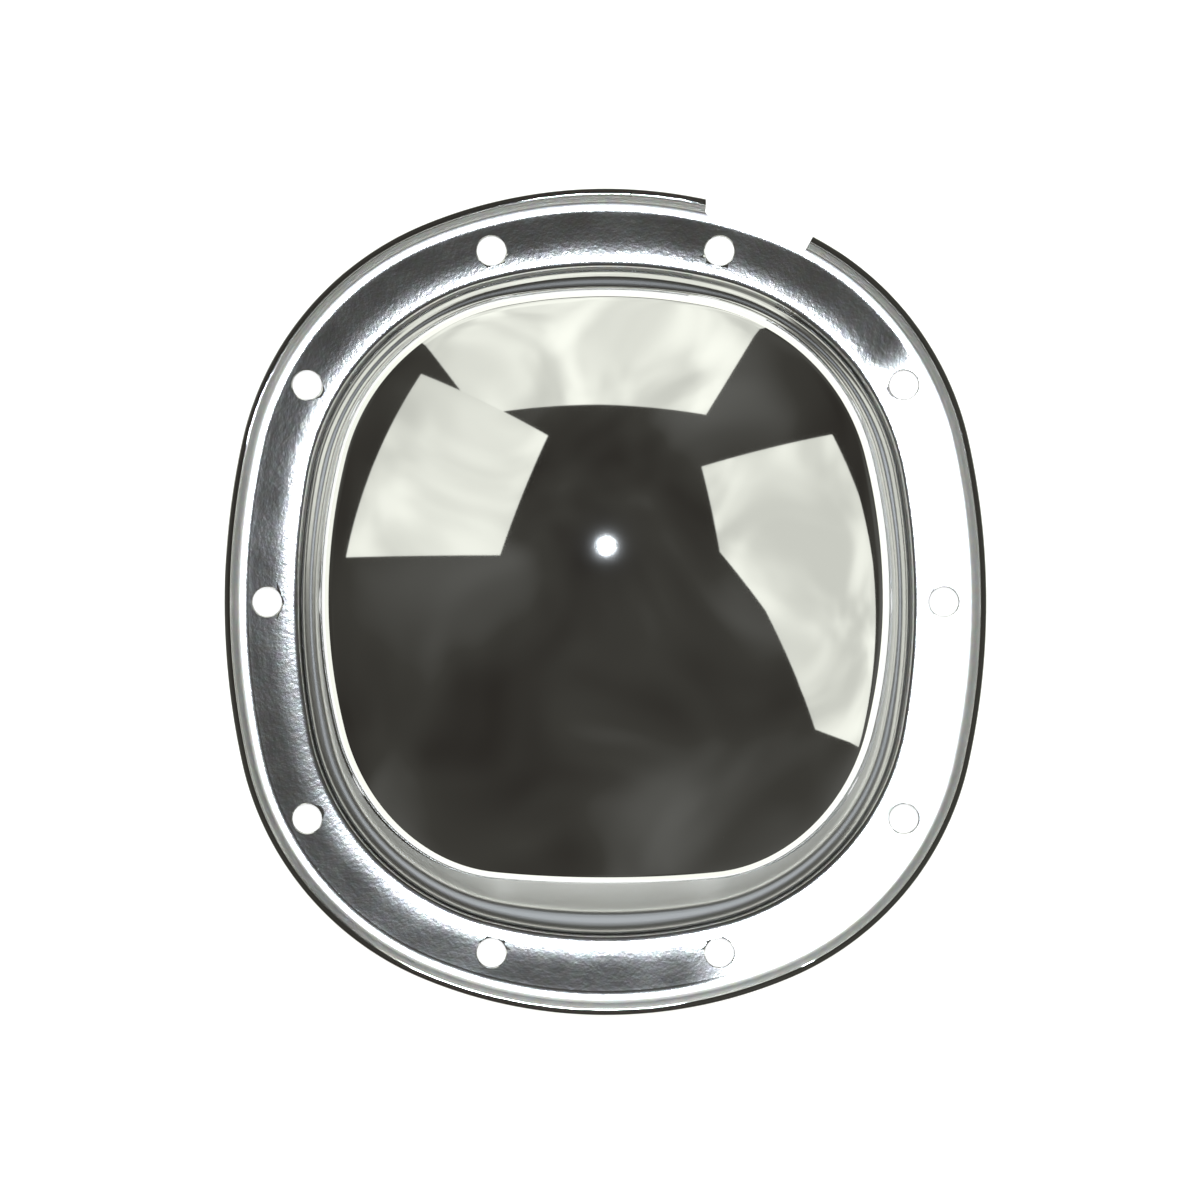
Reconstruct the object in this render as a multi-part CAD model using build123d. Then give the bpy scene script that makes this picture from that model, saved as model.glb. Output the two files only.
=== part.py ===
from build123d import *

import os
from dataclasses import dataclass, replace
from math import cos, hypot, radians, sin, tan

# Differential cover: one piece of sheet steel, drawn and trimmed in a press, then chromed.
#
# The cover lies as it rests on a bench. The flat mating face is at z = 0, the bulge points up (+Z),
# and +Y is the edge that is uppermost on the axle. All sizes are in millimetres and degrees.
#
# A flat flange with bolt holes carries a turned-up lip at its rim. Inside the holes the sheet rises over
# a low step and then a steep wall into the bulge. The bulge is highest above the middle of the cover,
# and its wall slopes more gently at the bottom than at the top and the sides.
#
# Every bend is given by its inside radius. The outside radius is one sheet more.
#
# The rim and the feet of the step and the bulge are outlines of arcs: one at each side, corner and end,
# all tangent. A side arc and an end arc are given by half the angle that they span. The corner arc is
# given by its radius, and spans the rest.

# Sheet
SHEET = 2.3

# Rim, measured over the top of the lip before its edges are rounded
RIM_WIDTH = 257.6
RIM_HEIGHT = 279.4
RIM_CORNER_RADIUS = 103.0
RIM_SIDE_ARC = 12.5
RIM_END_ARC = 22.6

# Lip
LIP_HEIGHT = 8.6
LIP_FLARE = 8.0
LIP_BEND_RADIUS = 4.8
LIP_EDGE_RADIUS = 0.6

# Notch in the lip. Its left end is square, this far to the right of the middle, with a relief at its inner
# corner. Its right end points to the middle of the cover, at this angle clockwise from the top
NOTCH_LEFT = 33.9
NOTCH_RIGHT_ANGLE = 29.6
NOTCH_DEPTH = 6.0
NOTCH_RELIEF = 2.4
NOTCH_CORNER_RADIUS = 1.0

# Step between the flange and the bulge, by its distance from the rim, measured at its foot. Its corners
# are tighter than the rim's by this much, and its riser keeps a short straight between its two bends
FLANGE_SIDE_WIDTH = 24.4
FLANGE_END_WIDTH = 25.9
STEP_CORNER_TIGHTER = 20.0
STEP_SIDE_ARC = 10.3
STEP_END_ARC = 14.4
STEP_RISE = 3.5
STEP_DRAFT = 25.0
STEP_FOOT_RADIUS = 2.0
STEP_EDGE_RADIUS = 1.7
RISER_STRAIGHT = 0.03

# Bulge, by its distance from the foot of the step, measured at its own foot on the step. Its corners
# are tighter than the step's by this much
LEDGE_SIDE_WIDTH = 7.2
LEDGE_END_WIDTH = 9.0
BULGE_CORNER_TIGHTER = 11.0
BULGE_SIDE_ARC = 13.6
BULGE_END_ARC = 9.7
BULGE_SIDE_DRAFT = 6.5
BULGE_TOP_DRAFT = 1.5
BULGE_BOTTOM_DRAFT = 33.0
BULGE_FOOT_RADIUS = 2.5
SHOULDER_RADIUS = 7.7

# Crown of the bulge: a ball that is highest above the middle of the cover, this far towards the top,
# and comes down to a height above the mating face over the point of the bulge's foot that is furthest
COVER_DEPTH = 52.0
CROWN_OFFSET = 12.0
CROWN_EDGE_HEIGHT = 15.3

# Bolt holes: one at each side, and eight more at an even pitch all round. Their centres lie this far
# in from the rim: less at the sides and corners than at the ends, where the rim reaches further out
BOLT_PITCH = 36.0
BOLT_SIDE_EDGE = 13.7
BOLT_END_EDGE = 15.1
BOLT_HOLE = 9.7

# Cutting tools run past the sheet by this much
OVERCUT = 5.0


@dataclass
class HalfOutline:
    """The upper half of an outline.

    The angles that the arcs span stay when the outline is drawn in, so that a wall between two such
    outlines has no creases.
    """

    half_width: float
    reach: float
    corner_radius: float
    side_arc: float
    end_arc: float

    def inset(self, side, end):
        """The half outline drawn in by its own amount at the sides and the end."""
        corner_radius = self.corner_radius - (side + end) / 2
        return replace(
            self, half_width=self.half_width - side, reach=self.reach - end, corner_radius=corner_radius
        )

    def side_and_end_radii(self):
        """Radii of the side arc and the end arc, which take up what the corner arc leaves."""
        start, end = radians(self.side_arc), radians(90 - self.end_arc)
        across = self.half_width - self.corner_radius * (cos(start) - cos(end))
        along = self.reach - self.corner_radius * (sin(end) - sin(start))
        scale = sin(start) * cos(end) - (1 - cos(start)) * (1 - sin(end))
        side_radius = (cos(end) * along - (1 - sin(end)) * across) / scale
        end_radius = (sin(start) * across - (1 - cos(start)) * along) / scale
        return side_radius, end_radius

    def corner_centre(self):
        """Centre of the corner arc on the right."""
        start = radians(self.side_arc)
        side_radius = self.side_and_end_radii()[0]
        to_corner = side_radius - self.corner_radius
        return self.half_width - side_radius + to_corner * cos(start), to_corner * sin(start)

    def arcs(self):
        """The arcs from the right side over the end to the left side."""
        side_radius, end_radius = self.side_and_end_radii()
        side_x = self.half_width - side_radius
        x, y = self.corner_centre()
        side, end = self.side_arc, self.end_arc
        corner = 90 - side - end
        return [
            CenterArc((side_x, 0), side_radius, 0, side),
            CenterArc((x, y), self.corner_radius, side, corner),
            CenterArc((0, self.reach - end_radius), end_radius, 90 - end, 2 * end),
            CenterArc((-x, y), self.corner_radius, 90 + end, corner),
            CenterArc((-side_x, 0), side_radius, 180 - side, side),
        ]


@dataclass
class Outline:
    """A closed outline of an upper half and a lower half. The lower one is given the other way up."""

    upper: HalfOutline
    lower: HalfOutline

    def inset(self, side, top=None, bottom=None):
        """The outline drawn in by one amount all round, or by its own at the sides, top and bottom."""
        top = side if top is None else top
        bottom = side if bottom is None else bottom
        return Outline(self.upper.inset(side, top), self.lower.inset(side, bottom))

    def face(self, z):
        """The flat face inside the outline, at height z."""
        lower = [Rot(180, 0, 0) * arc for arc in self.lower.arcs()]
        return Pos(0, 0, z) * make_face(self.upper.arcs() + lower)


def even_outline(half_width, reach, corner_radius, side_arc, end_arc):
    """An outline that is the same at the top and the bottom."""
    half = HalfOutline(half_width, reach, corner_radius, side_arc, end_arc)
    return Outline(half, half)


STEP_HALF_WIDTH = RIM_WIDTH / 2 - FLANGE_SIDE_WIDTH
STEP_REACH = RIM_HEIGHT / 2 - FLANGE_END_WIDTH
STEP_CORNER_RADIUS = RIM_CORNER_RADIUS - STEP_CORNER_TIGHTER
BULGE_HALF_WIDTH = STEP_HALF_WIDTH - LEDGE_SIDE_WIDTH
BULGE_REACH = STEP_REACH - LEDGE_END_WIDTH
BULGE_CORNER_RADIUS = STEP_CORNER_RADIUS - BULGE_CORNER_TIGHTER

RIM = even_outline(RIM_WIDTH / 2, RIM_HEIGHT / 2, RIM_CORNER_RADIUS, RIM_SIDE_ARC, RIM_END_ARC)
STEP_FOOT = even_outline(STEP_HALF_WIDTH, STEP_REACH, STEP_CORNER_RADIUS, STEP_SIDE_ARC, STEP_END_ARC)
BULGE_FOOT = even_outline(
    BULGE_HALF_WIDTH, BULGE_REACH, BULGE_CORNER_RADIUS, BULGE_SIDE_ARC, BULGE_END_ARC
)


def flat_faces(form):
    """Flat faces of a form, lowest first."""
    return form.faces().filter_by(GeomType.PLANE).sort_by(Axis.Z)


def step_radii():
    """Inside radii of the step's foot and edge, drawn in where the riser is too short for both bends."""
    draft = radians(STEP_DRAFT)
    riser = STEP_RISE / cos(draft) - RISER_STRAIGHT
    room = riser / tan((radians(90) - draft) / 2) - SHEET
    share = min(1, room / (STEP_FOOT_RADIUS + STEP_EDGE_RADIUS))
    return STEP_FOOT_RADIUS * share, STEP_EDGE_RADIUS * share


def drawn_block(foot, z, rise, drafts, behind):
    """A block with leaning walls, or, one sheet behind its faces, the block that hollows it."""
    drafts = [radians(draft) for draft in drafts]
    base = foot.inset(*[behind * (1 - sin(draft)) / cos(draft) for draft in drafts])
    top = base.inset(*[rise * tan(draft) for draft in drafts])
    return loft([base.face(z - behind), top.face(z - behind + rise)], ruled=True)


def crown_radius():
    """Radius of the ball that passes through the crown's highest point and its lowest."""
    corner_x, corner_y = BULGE_FOOT.lower.corner_centre()
    furthest = hypot(corner_x, corner_y + CROWN_OFFSET) + BULGE_CORNER_RADIUS
    fall = COVER_DEPTH - CROWN_EDGE_HEIGHT
    return (furthest**2 + fall**2) / (2 * fall)


def pressed_form(behind):
    """The solid under the show side of the step and the bulge, or, one sheet behind it, the hollow."""
    bend = SHEET - behind
    step = drawn_block(STEP_FOOT, SHEET, STEP_RISE, [STEP_DRAFT] * 3, behind)
    step = fillet(flat_faces(step)[-1].edges(), step_radii()[1] + bend)

    drafts = [BULGE_SIDE_DRAFT, BULGE_TOP_DRAFT, BULGE_BOTTOM_DRAFT]
    walls = drawn_block(BULGE_FOOT, SHEET + STEP_RISE, COVER_DEPTH, drafts, behind)
    radius = crown_radius()
    crown = Pos(0, CROWN_OFFSET, COVER_DEPTH - radius) * Rot(0, 90, 0) * Sphere(radius - behind)
    bulge = walls & crown
    shoulder = bulge.faces().filter_by(GeomType.SPHERE)[0].edges()
    bulge = fillet(shoulder, SHOULDER_RADIUS + bend)

    form = step + bulge
    ledge = flat_faces(form)[-1]
    return fillet(ledge.inner_wires()[0].edges(), BULGE_FOOT_RADIUS + behind)


def inner_corners(cut, count):
    """The upright edges of a cut that are nearest to the middle of the cover, from left to right."""
    return cut.edges().filter_by(Axis.Z).sort_by(SortBy.DISTANCE)[:count].sort_by(Axis.X)


def notch():
    """What is trimmed off the lip between the two ends of the notch."""
    height = LIP_HEIGHT + 2 * OVERCUT
    right = tan(radians(NOTCH_RIGHT_ANGLE))
    corners = [(NOTCH_LEFT, NOTCH_LEFT / right), (NOTCH_LEFT, RIM_HEIGHT), (RIM_HEIGHT * right, RIM_HEIGHT)]
    between_ends = extrude(make_face(Polyline(*corners, close=True)), height)
    cut = between_ends - extrude(RIM.inset(NOTCH_DEPTH).face(0), height)
    cut = chamfer(inner_corners(cut, 2)[0], NOTCH_RELIEF)
    return Pos(0, 0, -OVERCUT) * fillet(inner_corners(cut, 3)[-1], NOTCH_CORNER_RADIUS)


def flange_and_lip():
    """The flat flange, still closed in the middle, with the notched lip turned up round it."""
    flare = radians(LIP_FLARE)
    outer_foot = RIM.inset(LIP_HEIGHT * tan(flare))
    outside = loft([outer_foot.face(0), RIM.face(LIP_HEIGHT)], ruled=True)
    outside = fillet(flat_faces(outside)[0].edges(), LIP_BEND_RADIUS + SHEET)

    mouth = RIM.inset(SHEET / cos(flare))
    inner_foot = mouth.inset((LIP_HEIGHT - SHEET) * tan(flare))
    inside = loft([inner_foot.face(SHEET), mouth.face(LIP_HEIGHT)], ruled=True)
    inside = fillet(flat_faces(inside)[0].edges(), LIP_BEND_RADIUS)

    tray = outside - inside - notch()
    return fillet(flat_faces(tray)[-1].edges(), LIP_EDGE_RADIUS)


def bolt_places():
    """Centres of the ten bolt holes."""
    rim_face = RIM.face(0)
    places = []
    for pitches, edge in ((0, BOLT_SIDE_EDGE), (1, BOLT_SIDE_EDGE), (2, BOLT_END_EDGE)):
        angle = pitches * BOLT_PITCH
        ray = Rot(0, 0, angle) * Line((0, 0), (RIM_WIDTH + RIM_HEIGHT, 0))
        radius = (rim_face & ray).edge().length - edge
        x, y = radius * cos(radians(angle)), radius * sin(radians(angle))
        places += [(x, y), (-x, y), (-x, -y), (x, -y)] if pitches else [(x, 0), (-x, 0)]
    return places


def differential_cover():
    """The whole cover."""
    foot_radius = step_radii()[0]
    cover = flange_and_lip() + pressed_form(0)
    flange_top = cover.faces().filter_by(GeomType.PLANE).filter_by(lambda face: face.inner_wires())
    flange_top = flange_top.sort_by(SortBy.AREA)[-1]
    cover = fillet(flange_top.inner_wires()[0].edges(), foot_radius)

    cover -= pressed_form(SHEET)
    mating_face = flat_faces(cover)[0]
    cover = fillet(mating_face.inner_wires()[0].edges(), foot_radius + SHEET)

    hole = Cylinder(BOLT_HOLE / 2, SHEET + 2 * OVERCUT)
    return cover - [Pos(x, y, SHEET / 2) * hole for x, y in bolt_places()]


os.makedirs("parts", exist_ok=True)
export_step(differential_cover(), "parts/differential_cover.step")
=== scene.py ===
import math

import bmesh
import bpy
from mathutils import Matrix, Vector


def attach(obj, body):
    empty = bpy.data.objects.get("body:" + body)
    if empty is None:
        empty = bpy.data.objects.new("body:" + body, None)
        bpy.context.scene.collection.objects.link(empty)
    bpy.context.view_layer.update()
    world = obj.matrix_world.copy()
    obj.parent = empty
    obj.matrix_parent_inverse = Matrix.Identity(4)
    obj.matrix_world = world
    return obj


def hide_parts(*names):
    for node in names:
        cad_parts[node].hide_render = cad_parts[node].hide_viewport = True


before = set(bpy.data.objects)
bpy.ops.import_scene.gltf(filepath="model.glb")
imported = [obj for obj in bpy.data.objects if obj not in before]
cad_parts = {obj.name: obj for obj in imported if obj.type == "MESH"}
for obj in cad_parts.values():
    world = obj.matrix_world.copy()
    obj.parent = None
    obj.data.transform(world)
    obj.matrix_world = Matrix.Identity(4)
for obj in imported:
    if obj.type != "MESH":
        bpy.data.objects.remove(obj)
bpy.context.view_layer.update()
print("frame loaded")

up = Vector((0, 0, 1))
sameSpot = 1e-6  # metres: points nearer than this are merged
closeBy = 1e-4   # metres: anything nearer than this is at the same mark


# shader helpers

class Wire:  # an output socket, so that shader maths reads as an expression
    def __init__(self, finish, socket):
        self.finish = finish
        self.socket = socket

    def maths(self, operation, first, second):
        return self.finish.add("ShaderNodeMath", {"operation": operation}, {0: first, 1: second})[0]

    def __add__(self, other):
        return self.maths("ADD", self, other)

    def __radd__(self, other):
        return self.maths("ADD", other, self)

    def __sub__(self, other):
        return self.maths("SUBTRACT", self, other)

    def __rsub__(self, other):
        return self.maths("SUBTRACT", other, self)

    def __mul__(self, other):
        return self.maths("MULTIPLY", self, other)

    def __rmul__(self, other):
        return self.maths("MULTIPLY", other, self)

    def ease(self, low, high, start=0.0, stop=1.0, kind="SMOOTHSTEP"):  # goes from start to stop between low and high
        return self.finish.add("ShaderNodeMapRange", {"interpolation_type": kind}, {
            "Value": self, "From Min": low, "From Max": high, "To Min": start, "To Max": stop})[0]


class Finish:  # a node tree, of a material or of the world
    def __init__(self, owner):
        owner.use_nodes = True
        self.tree = owner.node_tree
        self.tree.nodes.clear()

    def add(self, kind, settings={}, sockets={}):
        node = self.tree.nodes.new(kind)
        for name, value in settings.items():
            if name == "stops":  # colour ramp: (place, colour) pairs
                stops = node.color_ramp.elements
                while len(stops) < len(value):
                    stops.new(0.5)
                for stop, (place, colour) in zip(stops, value):
                    stop.position = place
                    stop.color = (*colour, 1)
            else:
                setattr(node, name, value)
        for name, value in sockets.items():
            socket = node.inputs[name] if isinstance(name, int) else self.findInput(node, name)
            if isinstance(value, Wire):
                self.tree.links.new(value.socket, socket)
            else:
                socket.default_value = value
        return [Wire(self, socket) for socket in node.outputs if socket.enabled]

    def findInput(self, node, name):
        return next(socket for socket in node.inputs if socket.enabled and socket.name == name)


def newFinish(name):
    material = bpy.data.materials.new(name)
    return material, Finish(material)


def outputNamed(wires, name):
    return next(wire for wire in wires if wire.socket.name == name)


def noise(finish, place, values):
    return finish.add("ShaderNodeTexNoise", {}, {"Vector": place, **values})


def mixColours(finish, blend, factor, first, second):
    wires = finish.add("ShaderNodeMix", {"data_type": "RGBA", "blend_type": blend}, {
        "Factor": factor, "A": first, "B": second})
    return next(wire for wire in wires if wire.socket.type == "RGBA")


def deselectAll():
    if bpy.context.object and bpy.context.object.mode != "OBJECT":
        bpy.ops.object.mode_set(mode="OBJECT")
    bpy.ops.object.select_all(action="DESELECT")


def applyModifier(piece, kind, settings):
    modifier = piece.modifiers.new(kind.lower(), kind)
    for name, value in settings.items():
        setattr(modifier, name, value)
    bpy.context.view_layer.objects.active = piece
    bpy.ops.object.modifier_apply(modifier=modifier.name)


# the sheet: sizes in metres and degrees

cover = {
    "sheet": 0.0023,
    "rim": {"width": 0.2576, "height": 0.2794, "corner": 0.103, "sideArc": 12.5, "endArc": 22.6},
    "lipHeight": 0.0086,
    "lipFlare": 8.0,
    "lipBend": 0.0020,         # the bend's tight part
    "lipCurl": 0.0115,         # and the wide one, where it leaves the flange
    "lipCurlTurn": 15.0,
    "lipEdge": 0.0004,         # rounding of the cut edge
    "lipEdgeSegments": 6,
    "step": {"side": 0.0244, "end": 0.0259, "tighter": 0.020, "sideArc": 10.3, "endArc": 14.4},  # in from the rim
    "stepRise": 0.0035,
    "stepDraft": 25.0,
    "stepFoot": 0.0010,
    "stepEdge": 0.0017,
    "bulge": {"side": 0.0072, "end": 0.0090, "tighter": 0.011, "sideArc": 13.6, "endArc": 9.7},  # in from the step
    "sideDraft": 6.5,
    "topDraft": 1.5,
    "bottomDraft": 33.0,
    "bulgeFoot": 0.0025,
    "shoulder": 0.0077,
    "depth": 0.052,
    "crownOffset": 0.012,      # the crown's highest point, up from the middle
    "crownEdge": 0.0153,       # the crown's height at the corner that is furthest from there
    "flangeRoll": 0.0004,      # the flange falls this far towards the step
    "flangeRollStart": 0.45,   # from this share of its width on
    "columns": 432,            # mesh columns all round
    "rows": {                  # mesh rows of each part of the section
        "lip": 3, "lipBend": 7, "lipCurl": 4, "flange": 12, "stepFoot": 5, "riser": 2, "stepEdge": 8, "ledge": 3,
        "bulgeFoot": 8, "wall": 7, "shoulder": 12, "crown": 26,
    },
    "sharpAngle": 60.0,        # steeper edges are cut edges and get rounded
    "smoothAngle": 35.0,
}


def rowShare(part, share=1.0):  # how far up the section a part ends, or a share of it
    rows = cover["rows"]
    names = list(rows)
    below = sum(rows[name] for name in names[:names.index(part)])
    return (below + share * rows[part]) / sum(rows.values())


class Shape:  # an outline of side, corner and end arcs, all tangent
    def __init__(self, halfWidth, reach, corner, sideArc, endArc):
        self.halfWidth = halfWidth
        self.reach = reach
        self.corner = corner
        self.start = math.radians(sideArc)
        self.stop = math.radians(90 - endArc)

    def quarter(self, turn, side, end):  # point of the first quarter that faces turn, drawn in
        start, stop = self.start, self.stop
        halfWidth = self.halfWidth - side
        reach = self.reach - end
        corner = self.corner - (side + end) / 2
        across = halfWidth - corner * (math.cos(start) - math.cos(stop))
        along = reach - corner * (math.sin(stop) - math.sin(start))
        scale = math.sin(start) * math.cos(stop) - (1 - math.cos(start)) * (1 - math.sin(stop))
        sideRadius = (math.cos(stop) * along - (1 - math.sin(stop)) * across) / scale
        endRadius = (math.sin(start) * across - (1 - math.cos(start)) * along) / scale
        if turn < start:
            x, y, radius = halfWidth - sideRadius, 0, sideRadius
        elif turn < stop:
            x = halfWidth - sideRadius + (sideRadius - corner) * math.cos(start)
            y = (sideRadius - corner) * math.sin(start)
            radius = corner
        else:
            x, y, radius = 0, reach - endRadius, endRadius
        return x + radius * math.cos(turn), y + radius * math.sin(turn)

    def point(self, turn, side=0, top=None, bottom=None):  # that faces turn, drawn in all round or by three amounts
        across, along = math.cos(turn), math.sin(turn)
        end = (top if along > 0 else bottom) if top is not None else side
        x, y = self.quarter(math.atan2(abs(along), abs(across)), side, end)
        return Vector((x * math.copysign(1, across), y * math.copysign(1, along), 0))


def makeShapes():
    rim, step, bulge = cover["rim"], cover["step"], cover["bulge"]
    halfWidth, reach, corner = rim["width"] / 2, rim["height"] / 2, rim["corner"]
    shapes = [Shape(halfWidth, reach, corner, rim["sideArc"], rim["endArc"])]
    for part in (step, bulge):
        halfWidth -= part["side"]
        reach -= part["end"]
        corner -= part["tighter"]
        shapes.append(Shape(halfWidth, reach, corner, part["sideArc"], part["endArc"]))
    return shapes


rimShape, stepShape, bulgeShape = makeShapes()


def crownBall():  # centre and radius of the crown
    shape = bulgeShape
    cornerPoint = shape.point(math.radians(45))
    centre = cornerPoint - shape.corner * Vector((math.cos(math.radians(45)), math.sin(math.radians(45)), 0))
    furthest = math.hypot(centre.x, centre.y + cover["crownOffset"]) + shape.corner
    fall = cover["depth"] - cover["crownEdge"]
    radius = (furthest ** 2 + fall ** 2) / (2 * fall)
    return Vector((0, cover["crownOffset"], cover["depth"] - radius)), radius


ballCentre, ballRadius = crownBall()


def line(start, stop, count):
    return [start.lerp(stop, step / count) for step in range(1, count + 1)]


def arc(centre, radius, start, stop, count):
    return [centre + radius * start.slerp(stop, step / count) for step in range(1, count + 1)]


def footCentre(point, out, radius, draft):  # of the arc between a floor and a wall that starts at point
    return point + up * radius + out * (radius * (1 - math.sin(draft)) / math.cos(draft))


def lipPoints(turn, out):  # the lip and its bend, tight at the lip and wide at the flange
    sheet, rows = cover["sheet"], cover["rows"]
    flare, curlTurn = math.radians(cover["lipFlare"]), math.radians(cover["lipCurlTurn"])
    bend, curl = cover["lipBend"], cover["lipCurl"]
    toLip = out * math.cos(flare) - up * math.sin(flare)
    toCurl = out * math.sin(curlTurn) - up * math.cos(curlTurn)
    top = rimShape.point(turn) - out * (sheet / math.cos(flare)) + up * cover["lipHeight"]
    bendHeight = sheet + curl - (curl - bend) * math.cos(curlTurn)
    centre = top - out * ((cover["lipHeight"] - bendHeight) * math.tan(flare) + bend / math.cos(flare))
    centre.z = bendHeight
    points = [top]
    points += line(top, centre + bend * toLip, rows["lip"])
    points += arc(centre, bend, toLip, toCurl, rows["lipBend"])
    points += arc(centre - (curl - bend) * toCurl, curl, toCurl, -up, rows["lipCurl"])
    return points


def flangePoints(turn, out, start):  # the flange, which falls a little towards the step, and the step
    sheet, rows = cover["sheet"], cover["rows"]
    roll, rollStart = cover["flangeRoll"], cover["flangeRollStart"]
    draft = math.radians(cover["stepDraft"])
    foot = cover["stepFoot"]
    edge = cover["stepEdge"] + sheet
    rise = cover["stepRise"]
    stepPoint = stepShape.point(turn)
    riser = out * math.cos(draft) + up * math.sin(draft)
    centre = footCentre(stepPoint + up * sheet, out, foot, draft)
    flange = line(start, centre - foot * up, rows["flange"])
    for step, point in enumerate(flange, 1):
        share = max(0, (step / len(flange) - rollStart) / (1 - rollStart))
        point.z -= roll * share ** 2
    rising = arc(centre, foot, -up, -riser, rows["stepFoot"])
    centre = stepPoint - out * (edge / math.cos(draft) + (rise - edge) * math.tan(draft))
    centre.z = sheet + rise - edge
    rising += line(rising[-1], centre + edge * riser, rows["riser"])
    rising += arc(centre, edge, riser, up, rows["stepEdge"])
    for step, point in enumerate(rising, 1):
        point.z -= roll * (1 - step / len(rising))
    return flange + rising


def bulgePoints(turn, out, start):  # the ledge, and the bulge from its foot to the crown
    rows = cover["rows"]
    along = Vector((-out.y, out.x, 0))
    foot = cover["bulgeFoot"]
    shoulder = cover["shoulder"] + cover["sheet"]
    outline = bulgeShape.point(turn)
    bulgePoint = outline + up * (cover["sheet"] + cover["stepRise"])
    drafts = [math.tan(math.radians(cover[name])) for name in ("sideDraft", "topDraft", "bottomDraft")]
    wallRise = bulgeShape.point(turn, *drafts) - outline + up  # how the outline moves for each metre of height
    draft = math.atan(-wallRise.dot(out))
    wall = out * math.cos(draft) + up * math.sin(draft)
    centre = footCentre(bulgePoint, out, foot, draft) + along * (foot * (1 - math.sin(draft)) * wallRise.dot(along))
    points = line(start, centre - foot * up, rows["ledge"])
    points += arc(centre, foot, -up, -wall, rows["bulgeFoot"])

    # a ball rolls up inside the wall until it touches the crown's big ball: the height is a quadratic's root
    offset = bulgePoint - shoulder * wall - ballCentre
    a = wallRise.length_squared
    b = offset.dot(wallRise)
    c = offset.length_squared - (ballRadius - shoulder) ** 2
    height = (math.sqrt(b * b - a * c) - b) / a
    centre = bulgePoint - shoulder * wall + height * wallRise
    crown = (centre - ballCentre).normalized()
    points += line(points[-1], centre + shoulder * wall, rows["wall"])
    points += arc(centre, shoulder, wall, crown, rows["shoulder"])
    points += arc(ballCentre, ballRadius, crown, up, rows["crown"])
    return points


def section(turn):  # the show side where the outlines face turn, from the top of the lip to the crown
    out = Vector((math.cos(turn), math.sin(turn), 0))
    points = lipPoints(turn, out)
    points += flangePoints(turn, out, points[-1])
    points += bulgePoints(turn, out, points[-1])
    return points


def levelCutFace(vertices, edges):  # the lip is cut off level, not square to its flare
    wide = cover["sheet"] / math.cos(math.radians(cover["lipFlare"]))
    moves = []
    for edge in edges:
        inner, outer = sorted((vertices[index].co for index in edge.vertices), key=lambda place: -place.z)
        across = Vector((outer.x - inner.x, outer.y - inner.y, 0))
        onTop = inner.z > cover["lipHeight"] - sameSpot and inner.xy.length > stepShape.reach
        if onTop and inner.z - outer.z > closeBy and across.length > wide / 2:
            moves.append((outer, inner + across.normalized() * wide))
    for outer, place in moves:
        outer.xyz = place


def pressSheet():
    columns = cover["columns"]
    rows = sum(cover["rows"].values())
    deselectAll()
    bpy.ops.mesh.primitive_grid_add(x_subdivisions=columns, y_subdivisions=rows, size=1, calc_uvs=True)
    piece = bpy.context.object
    piece.name = "chromed_cover"
    piece.data.uv_layers[0].name = "section"  # across: once round, up: from the lip to the crown
    sections = [section(2 * math.pi * column / columns) for column in range(columns)]
    for vertex in piece.data.vertices:
        column = round((vertex.co.x + 0.5) * columns) % columns
        row = round((vertex.co.y + 0.5) * rows)
        vertex.co = sections[column][row]
    bpy.ops.object.mode_set(mode="EDIT")
    bpy.ops.mesh.select_all(action="SELECT")
    bpy.ops.mesh.remove_doubles(threshold=sameSpot)
    bpy.ops.mesh.normals_make_consistent(inside=False)
    bpy.ops.object.mode_set(mode="OBJECT")
    highest = max(piece.data.polygons, key=lambda face: face.center.z)  # an open sheet can end up inside out
    if highest.normal.z < 0:
        bpy.ops.object.mode_set(mode="EDIT")
        bpy.ops.mesh.flip_normals()
        bpy.ops.object.mode_set(mode="OBJECT")
    applyModifier(piece, "SOLIDIFY", {"thickness": cover["sheet"], "offset": -1, "use_even_offset": True})
    vertices = piece.data.vertices
    for vertex in vertices:  # the mating face is flat
        vertex.co.z = max(vertex.co.z, 0)
    levelCutFace(vertices, piece.data.edges)
    return piece


def roundCutEdge(piece):  # the two edges of the lip's cut face are the only sharp ones yet
    bpy.ops.object.mode_set(mode="EDIT")
    bpy.ops.mesh.select_mode(type="EDGE")
    bpy.ops.mesh.select_all(action="DESELECT")
    bpy.ops.mesh.edges_select_sharp(sharpness=math.radians(cover["sharpAngle"]))
    bpy.ops.mesh.bevel(offset=cover["lipEdge"], segments=cover["lipEdgeSegments"], affect="EDGES")
    bpy.ops.object.mode_set(mode="OBJECT")


# bolt holes and notch

cuts = {
    "pitch": 36.0,           # angle between neighbouring holes, seen from the middle
    "sideEdge": 0.0137,      # from the rim in to the holes at the sides and corners
    "endEdge": 0.0151,       # and to those at the top and the bottom
    "hole": 0.0097,
    "holeRound": 0.0006,     # rounding of a hole's edge
    "holeSides": 72,
    "holeRings": 5,
    "punchBelow": 0.002,     # the punch starts this far below the sheet
    "punchOver": (3, 2),     # and ends this many roundings outside and above the hole's edge
    "notchLeft": 0.0339,     # the notch's left end, to the right of the middle
    "notchRight": 29.6,      # its right end, as an angle from the top
    "notchDepth": 0.0060,
    "notchRelief": 0.0024,   # a 45 degree cut in the left corner of its floor
    "notchCorner": 0.0010,   # rounding of the right one
    "notchSteps": 12,
    "blockBelow": 0.004,     # the block that cuts it starts this far below the sheet
    "blockSize": 0.020,
}


def turnWhere(before, side=0):  # how far the rim turns, from the right to the top, before a mark is met
    low, high = 0, math.pi / 2
    for _ in range(50):
        middle = (low + high) / 2
        if before(rimShape.point(middle, side)):
            low = middle
        else:
            high = middle
    return low


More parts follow.
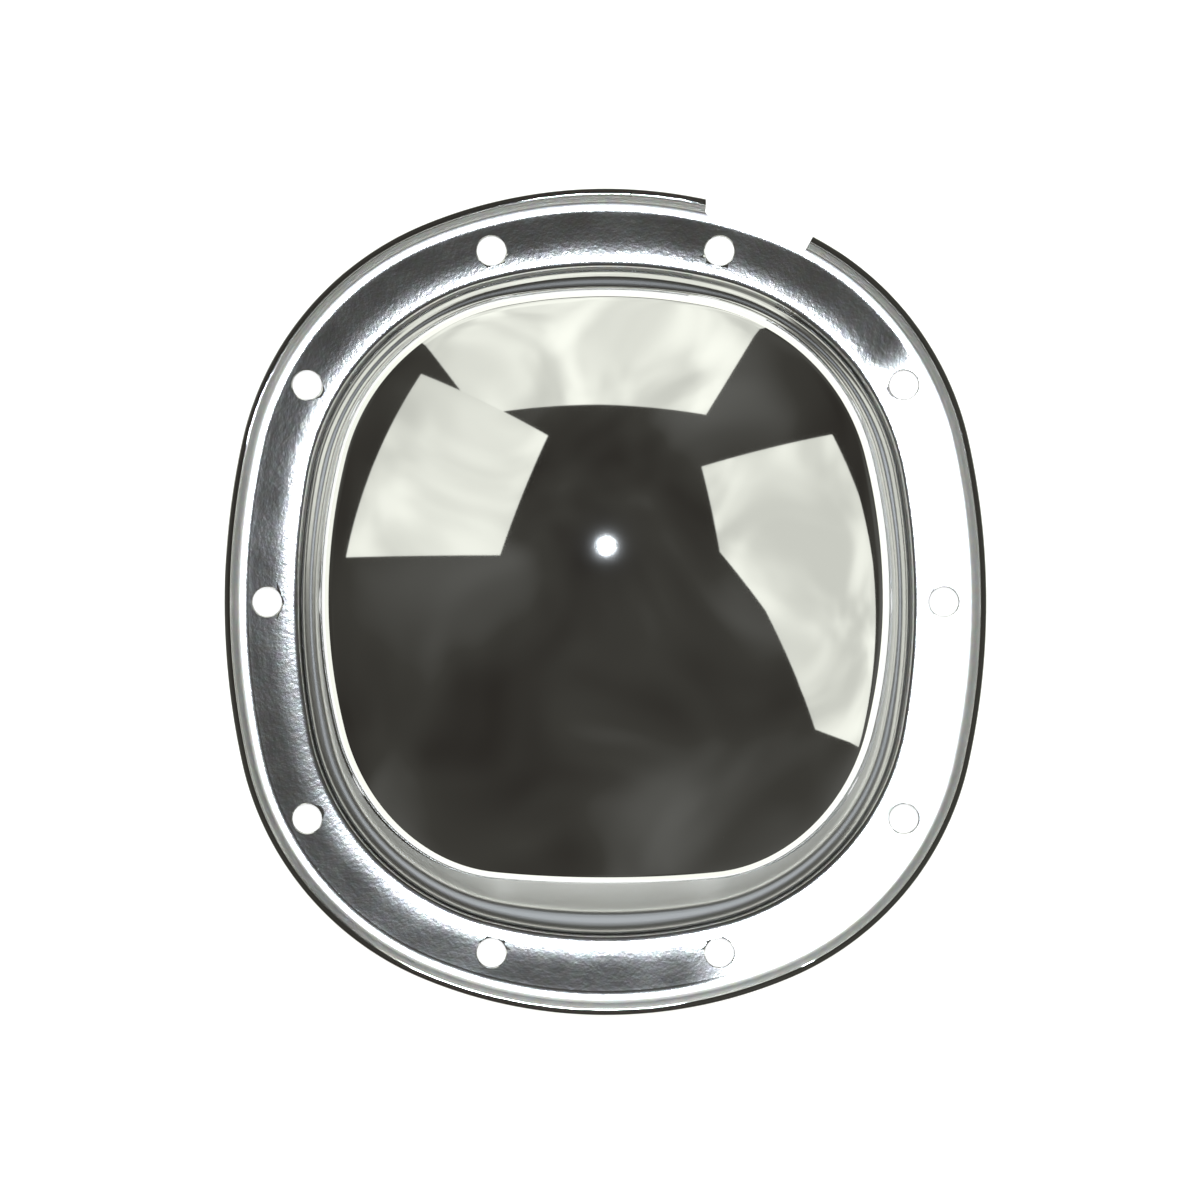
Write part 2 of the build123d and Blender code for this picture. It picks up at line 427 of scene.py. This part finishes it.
def turnSeen(degrees, side=0):  # the same for a direction seen from the middle
    return turnWhere(lambda point: math.atan2(point.y, point.x) < math.radians(degrees), side)


def holePlaces():
    places = []
    for pitches, edge in ((0, "sideEdge"), (1, "sideEdge"), (2, "endEdge")):
        rimPoint = rimShape.point(turnSeen(pitches * cuts["pitch"]))
        place = rimPoint * (1 - cuts[edge] / rimPoint.length)
        for x in (1, -1):
            for y in (1, -1) if pitches else (1,):
                places.append(Vector((x * place.x, y * place.y, 0)))
    return places


def holeCutter(place):  # a round punch that widens at the sheet's show side
    radius, rounding, rings = cuts["hole"] / 2, cuts["holeRound"], cuts["holeRings"]
    sheet, height = cover["sheet"], -cuts["punchBelow"]
    deselectAll()
    bpy.ops.mesh.primitive_circle_add(
        vertices=cuts["holeSides"], radius=radius, fill_type="NGON", location=place + up * height)
    cutter = bpy.context.object
    bpy.ops.object.mode_set(mode="EDIT")
    bpy.ops.mesh.select_all(action="SELECT")
    steps = []
    for ring in range(rings):
        angle = math.radians(90 * ring / rings)
        steps.append((radius + rounding * (1 - math.cos(angle)), sheet - rounding * (1 - math.sin(angle))))
    outside, above = cuts["punchOver"]
    steps.append((radius + rounding * outside, sheet + rounding * above))
    last = radius
    for wide, level in steps:
        bpy.ops.mesh.extrude_region_move(TRANSFORM_OT_translate={"value": (0, 0, level - height)})
        bpy.ops.transform.resize(value=(wide / last, wide / last, 1), center_override=(place.x, place.y, level))
        last, height = wide, level
    bpy.ops.mesh.select_all(action="SELECT")
    bpy.ops.mesh.normals_make_consistent(inside=False)
    bpy.ops.object.mode_set(mode="OBJECT")
    return cutter


def notchCutter():  # a block whose floor follows the rim at the depth of the notch
    depth, tall = cuts["notchDepth"], cuts["blockSize"]
    left = turnWhere(lambda point: point.x > cuts["notchLeft"], depth)
    right = turnSeen(90 - cuts["notchRight"], depth)
    deselectAll()
    bpy.ops.mesh.primitive_grid_add(x_subdivisions=cuts["notchSteps"], y_subdivisions=1, size=1)
    cutter = bpy.context.object
    for vertex in cutter.data.vertices:  # the left end is square, the right one points to the middle
        share = vertex.co.x + 0.5
        aside = math.radians(cuts["notchRight"] * share)
        reach = cuts["blockSize"] if vertex.co.y > 0 else 0
        floor = rimShape.point(left + (right - left) * share, depth)
        vertex.co = floor + reach * Vector((math.sin(aside), math.cos(aside), 0)) - up * cuts["blockBelow"]
    bpy.ops.object.mode_set(mode="EDIT")
    bpy.ops.mesh.select_all(action="SELECT")
    bpy.ops.mesh.extrude_region_move(TRANSFORM_OT_translate={"value": (0, 0, tall)})
    bpy.ops.mesh.select_all(action="SELECT")
    bpy.ops.mesh.normals_make_consistent(inside=False)
    bpy.ops.mesh.select_mode(type="EDGE")
    for turn, offset, segments in ((left, cuts["notchRelief"], 1), (right, cuts["notchCorner"], 4)):
        corner = rimShape.point(turn, depth)
        bpy.ops.mesh.select_all(action="DESELECT")
        mesh = bmesh.from_edit_mesh(cutter.data)
        for edge in mesh.edges:
            first, second = (vertex.co for vertex in edge.verts)
            upright = abs(first.z - second.z) > tall / 2
            edge.select = upright and math.hypot(first.x - corner.x, first.y - corner.y) < closeBy
        bmesh.update_edit_mesh(cutter.data)
        bpy.ops.mesh.bevel(offset=offset, segments=segments, affect="EDGES")
    bpy.ops.object.mode_set(mode="OBJECT")
    return cutter


def cutAway(piece, cutters):
    deselectAll()
    for cutter in cutters:
        cutter.select_set(True)
    bpy.context.view_layer.objects.active = cutters[0]
    if len(cutters) > 1:
        bpy.ops.object.join()
    tool = bpy.context.view_layer.objects.active
    applyModifier(piece, "BOOLEAN", {"operation": "DIFFERENCE", "object": tool, "solver": "EXACT"})
    bpy.data.objects.remove(tool)


coverPiece = pressSheet()
roundCutEdge(coverPiece)
cutAway(coverPiece, [notchCutter()])
cutAway(coverPiece, [holeCutter(place) for place in holePlaces()])
deselectAll()
coverPiece.select_set(True)
bpy.context.view_layer.objects.active = coverPiece
bpy.ops.object.shade_smooth_by_angle(angle=math.radians(cover["smoothAngle"]))
print("cover pressed and cut", len(coverPiece.data.polygons), "faces")


# chrome: mirror on the bulge, satin on the ledge, grainy on the flange and the lip

chrome = {
    "colour": (0.78, 0.78, 0.775),
    "mirrorRoughness": 0.03,
    "satinRoughness": 0.11,
    "satinBelow": 0.10,         # how much rougher the ledge gets from the top to the sides, and again to the bottom
    "wallRoughness": 0.5,
    "wallFade": 0.3,            # the wall's finish fades out over this share of the shoulder
    "lipRoughness": 0.33,
    "edgeBand": (0.003, 0.008),  # where the lip's polished cut edge ends, as shares of the section
    "grainRoughness": 0.092,
    "grainBelow": 0.2,          # by what share the flange gets rougher, as the ledge does
    "grainPatches": (0.7, 1.3),  # and between which factors it varies in patches
    "grainDepth": 0.00003,
    "tint": 0.35,               # how much the grains differ in colour
    # the colour of the painted shade at the foot of the step
    "paintedShadeColour": (0.02, 0.02, 0.02),
    "paintedShadeStrength": 0.85,        # painted shade: how dark the foot of the step is painted, a dark band in its corner
    "paintedShadeEnd": (0.4, 0.65),   # the painted shade ends between these shares of the step's edge
    "dishSlope": 0.045,         # how steeply the flange dips towards the step at its sides
    "dishInset": 0.0071,        # the flat flange starts this far in from the rim
    "warpTurn": -22.0,          # the flange is warped here, in degrees up from the right
    "warpFade": (0.5, 0.78),    # where the warp starts and is full, as cosines of the angle from its middle
    "warpEnd": 0.8,             # and from which share of the flange's width it fades out
    "warpReach": 0.85,          # it faces a point this far up
    "warpMiddle": 0.047,        # and leans up by this slope
    "warpRoughness": 0.45,      # the plate is duller there, so the holes' edges stand out
    "grain": {"Scale": 600.0, "Detail": 2.0, "Roughness": 0.6},  # noise, with the scale in grains per metre
    "patches": {"Scale": 60.0, "Detail": 2.0, "Roughness": 0.5},
    "hues": {"Scale": 360.0, "Detail": 1.0, "Roughness": 0.5},
}


def chromePlate():
    material, finish = newFinish("chrome_plate")
    objectPlace = outputNamed(finish.add("ShaderNodeTexCoord"), "Object")
    uv = finish.add("ShaderNodeUVMap", {"uv_map": "section"})[0]
    turn, row = finish.add("ShaderNodeSeparateXYZ", {}, {0: uv})[:2]
    angle = turn * (2 * math.pi)
    upness = finish.add("ShaderNodeMath", {"operation": "SINE"}, {0: angle})[0]

    # which part of the section it is
    edge = row.ease(*chrome["edgeBand"], 1.0, 0.0)
    lip = row.ease(rowShare("lipBend"), rowShare("lipCurl"), 1.0, 0.0) - edge
    grainy = row.ease(rowShare("stepFoot"), rowShare("riser"), 1.0, 0.0) - edge
    satin = row.ease(rowShare("stepFoot"), rowShare("riser")) - row.ease(rowShare("ledge"), rowShare("bulgeFoot"))
    wall = (row.ease(rowShare("ledge"), rowShare("bulgeFoot"))
            - row.ease(rowShare("wall"), rowShare("shoulder", chrome["wallFade"])))
    # painted shade: a dark band from the end of the flange into the step's rounded edge, in the corner at the step's
    # foot
    paintedShadeBand = (row.ease(rowShare("flange"), rowShare("stepFoot"))
              - row.ease(*(rowShare("stepEdge", share) for share in chrome["paintedShadeEnd"])))

    # the warped part of the flange, on the lower right
    rightness = finish.add("ShaderNodeMath", {"operation": "COSINE"}, {
        0: angle - math.radians(chrome["warpTurn"])})[0]
    right = rightness.ease(*chrome["warpFade"])
    warped = right * (row.ease(rowShare("lipBend"), rowShare("lipCurl"))
                      - row.ease(rowShare("flange", chrome["warpEnd"]), rowShare("flange")))

    mirror, grained = chrome["mirrorRoughness"], chrome["grainRoughness"]
    low, high = chrome["grainPatches"]
    patch = noise(finish, objectPlace, chrome["patches"])[0]
    flange = (grained * (1 + chrome["grainBelow"] * (1 - upness)) - mirror) * (low + (high - low) * patch)
    roughness = (mirror
                 + satin * (chrome["satinRoughness"] - mirror + chrome["satinBelow"] * (1 - upness))
                 + wall * (chrome["wallRoughness"] - mirror)
                 + lip * (chrome["lipRoughness"] - grained)
                 + warped * (chrome["warpRoughness"] - grained)
                 + grainy * flange)

    # the flange dips towards the step, least at the top, and leans over where it is warped
    width = cover["step"]["side"] - chrome["dishInset"]
    across = row.ease(rowShare("lipCurl"), rowShare("flange"), -width, 0.0, "LINEAR")
    dish = across * (chrome["dishSlope"] * (1 - upness)) * (1 - right)
    grain = noise(finish, objectPlace, chrome["grain"])[0]
    height = chrome["grainDepth"] * grain * grainy - dish
    reach = chrome["warpReach"]
    facing = finish.add("ShaderNodeVectorMath", {"operation": "MULTIPLY_ADD"}, {
        0: objectPlace, 1: (-1 / reach, -1 / reach, 0), 2: (0, chrome["warpMiddle"], 0)})[0]
    lean = finish.add("ShaderNodeVectorMath", {"operation": "SCALE"}, {0: facing, "Scale": warped})[0]
    normal = outputNamed(finish.add("ShaderNodeNewGeometry"), "Normal")
    bent = finish.add("ShaderNodeVectorMath", {"operation": "ADD"}, {0: normal, 1: lean})[0]
    straight = finish.add("ShaderNodeVectorMath", {"operation": "NORMALIZE"}, {0: bent})[0]
    bump = finish.add("ShaderNodeBump", {}, {
        "Strength": 1.0, "Distance": 1.0, "Height": height, "Normal": straight})[0]

    hue = noise(finish, objectPlace, chrome["hues"])[1]
    tinted = mixColours(finish, "OVERLAY", grainy * chrome["tint"], (*chrome["colour"], 1), hue)
    # the painted shade darkens the base colour at the step's foot
    shaded = mixColours(finish, "MIX", paintedShadeBand * chrome["paintedShadeStrength"], tinted, (*chrome["paintedShadeColour"], 1))
    shader = finish.add("ShaderNodeBsdfPrincipled", {}, {
        "Base Color": shaded, "Metallic": 1.0, "Roughness": roughness, "Normal": bump})[0]
    finish.add("ShaderNodeOutputMaterial", {}, {"Surface": shader})
    return material


coverPiece.data.materials.clear()
coverPiece.data.materials.append(chromePlate())
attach(coverPiece, "root")
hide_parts("differential_cover")
print("chrome plated")


# studio: pale floor, soft panels, a small lamp beside the camera, dim surroundings

studio = {
    "floorSize": 40.0,
    "floorColour": (0.8, 0.8, 0.8),
    "floorGlow": 0.65,
    "panelDistance": 2.5,
    "panelColour": (1.0, 1.02, 0.93),
    "panels": {  # the panel's strength, and its corners as (azimuth from +X, elevation) in degrees
        "panel_top": (1.0, [(128, 12), (129, 50), (92, 57), (57, 53), (58, 12)]),
        "panel_left": (0.95, [(133, 35), (113, 61), (172, 69), (177, 37)]),
        "panel_right": (1.0, [(31, 36), (47, 62), (9, 67), (-14, 57), (-37, 36), (-34, 24), (2, 34)]),
    },
    "folds": {"Scale": 0.8, "Detail": 2.0, "Roughness": 0.45, "Distortion": 1.4},
    "foldRange": (0.3, 0.75),
    "foldShade": (0.75, 1.25),  # the cloth's strength goes from the one factor to the other
    "ringRadius": 0.25,
    "ringSides": 96,
    "ringHeight": 0.062,
    "ringStrength": 1.5,
    "lampPlace": (0.003, 0.079, 0.85),
    "lampRadius": 0.02,
    "lampPower": 2.4,
    "lampColour": (0.86, 0.93, 1.0),
    "room": {"Scale": 1.6, "Detail": 2.0, "Roughness": 0.5, "Distortion": 0.6},
    "roomColours": [(0.3, (0.032, 0.029, 0.025)), (0.5, (0.056, 0.054, 0.047)), (0.75, (0.14, 0.14, 0.13))],
}


def makeFloor():
    deselectAll()
    bpy.ops.mesh.primitive_plane_add(size=studio["floorSize"], location=(0, 0, 0))
    floor = bpy.context.object
    floor.name = "floor"
    material, finish = newFinish("floor_paper")
    rays = {wire.socket.name: wire for wire in finish.add("ShaderNodeLightPath")}
    seen = finish.add("ShaderNodeMath", {"operation": "MINIMUM"}, {
        0: rays["Is Camera Ray"] + rays["Is Glossy Ray"] + rays["Is Transmission Ray"], 1: 1.0})[0]
    paper = finish.add("ShaderNodeBsdfDiffuse", {}, {"Color": (*studio["floorColour"], 1)})[0]
    glow = finish.add("ShaderNodeEmission", {}, {"Strength": seen * studio["floorGlow"]})[0]
    both = finish.add("ShaderNodeAddShader", {}, {0: paper, 1: glow})[0]
    finish.add("ShaderNodeOutputMaterial", {}, {"Surface": both})
    floor.data.materials.append(material)


def direction(azimuth, elevation):
    azimuth, elevation = math.radians(azimuth), math.radians(elevation)
    flat = math.cos(elevation)
    return Vector((flat * math.cos(azimuth), flat * math.sin(azimuth), math.sin(elevation)))


def hang(piece, strength):  # a soft white cloth that only shows in the chrome
    material, finish = newFinish(piece.name + "_cloth")
    objectPlace = outputNamed(finish.add("ShaderNodeTexCoord"), "Object")
    folds = noise(finish, objectPlace, studio["folds"])[0]
    shade = folds.ease(*studio["foldRange"], *(factor * strength for factor in studio["foldShade"]))
    glow = finish.add("ShaderNodeEmission", {}, {"Color": (*studio["panelColour"], 1), "Strength": shade})[0]
    finish.add("ShaderNodeOutputMaterial", {}, {"Surface": glow})
    piece.data.materials.append(material)
    piece.visible_camera = False


def makePanel(name, strength, corners):
    rays = [direction(*corner) for corner in corners]
    middle = sum(rays, Vector()).normalized()
    deselectAll()
    bpy.ops.mesh.primitive_circle_add(vertices=len(rays), radius=1, fill_type="NGON")
    panel = bpy.context.object
    panel.name = name
    for vertex, ray in zip(panel.data.vertices, rays):
        vertex.co = ray * (studio["panelDistance"] / ray.dot(middle))
    hang(panel, strength)


def makeRing():  # the low rim of the paper that the cover lies on
    height = studio["ringHeight"]
    deselectAll()
    bpy.ops.mesh.primitive_cylinder_add(
        vertices=studio["ringSides"], radius=studio["ringRadius"], depth=height, end_fill_type="NOTHING",
        location=(0, 0, height / 2))
    ring = bpy.context.object
    ring.name = "paper_rim"
    hang(ring, studio["ringStrength"])


def makeLamp():
    lamp = bpy.data.lights.new("camera_lamp", "AREA")
    lamp.shape = "DISK"
    lamp.size = 2 * studio["lampRadius"]
    lamp.energy = studio["lampPower"]
    lamp.color = studio["lampColour"]
    holder = bpy.data.objects.new("camera_lamp", lamp)
    bpy.context.scene.collection.objects.link(holder)
    holder.location = studio["lampPlace"]


def makeSurroundings():  # a dim room, a little uneven
    world = bpy.data.worlds.new("surroundings")
    bpy.context.scene.world = world
    finish = Finish(world)
    skyPlace = outputNamed(finish.add("ShaderNodeTexCoord"), "Generated")
    patches = noise(finish, skyPlace, studio["room"])[0]
    shade = finish.add("ShaderNodeValToRGB", {"stops": studio["roomColours"]}, {0: patches})[0]
    background = finish.add("ShaderNodeBackground", {}, {"Color": shade, "Strength": 1.0})[0]
    finish.add("ShaderNodeOutputWorld", {}, {"Surface": background})


makeFloor()
for name, (strength, corners) in studio["panels"].items():
    makePanel(name, strength, corners)
makeRing()
makeLamp()
makeSurroundings()
print("studio lit")


# camera: straight above, as in the photograph

view = {"place": (-0.00187, 0.0006, 0.8523), "lens": 75.0, "sensor": 36.0}

cameraData = bpy.data.cameras.new("camera")
cameraData.lens = view["lens"]
cameraData.sensor_width = view["sensor"]
camera = bpy.data.objects.new("camera", cameraData)
camera.location = view["place"]
bpy.context.scene.collection.objects.link(camera)
bpy.context.scene.camera = camera
bpy.context.scene.view_settings.view_transform = "Standard"
